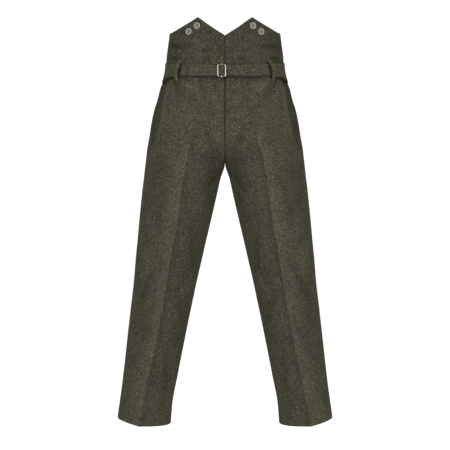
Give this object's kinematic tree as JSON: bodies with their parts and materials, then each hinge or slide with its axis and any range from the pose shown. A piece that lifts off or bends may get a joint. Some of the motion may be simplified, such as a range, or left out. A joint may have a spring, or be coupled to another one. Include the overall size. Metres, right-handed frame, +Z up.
{
  "type": "uniform trousers",
  "caption": "Hollow worn form of wool uniform trousers with a fishtail back, brace buttons, a cinch strap with slide buckle, belt loops and a lapped fly.",
  "frame": {"origin": "middle of the waist, level with the upper edge of the cinch strap at the centre back", "axes": "+Z up, the back faces -Y and the front +Y, the wearer's left is -X"},
  "size_m": [0.5906, 0.2448, 1.0968],
  "materials": {
    "wool": "dark field-grey heathered wool, napped",
    "buckle_metal": "bright nickel plate",
    "button": "grey, slightly shiny"
  },
  "bodies": {
    "root": {"back_left": "wool", "back_right": "wool", "front_left": "wool", "front_right": "wool", "belt_left": "wool", "belt_right": "wool", "belt_loop_left": "wool", "belt_loop_right": "wool", "buckle": "buckle_metal", "brace_button_back_1": "button", "brace_button_back_2": "button", "brace_button_back_3": "button", "brace_button_back_4": "button", "brace_button_front_1": "button", "brace_button_front_2": "button", "brace_button_front_3": "button", "brace_button_front_4": "button", "waist_button": "button"}
  },
  "joints": []
}
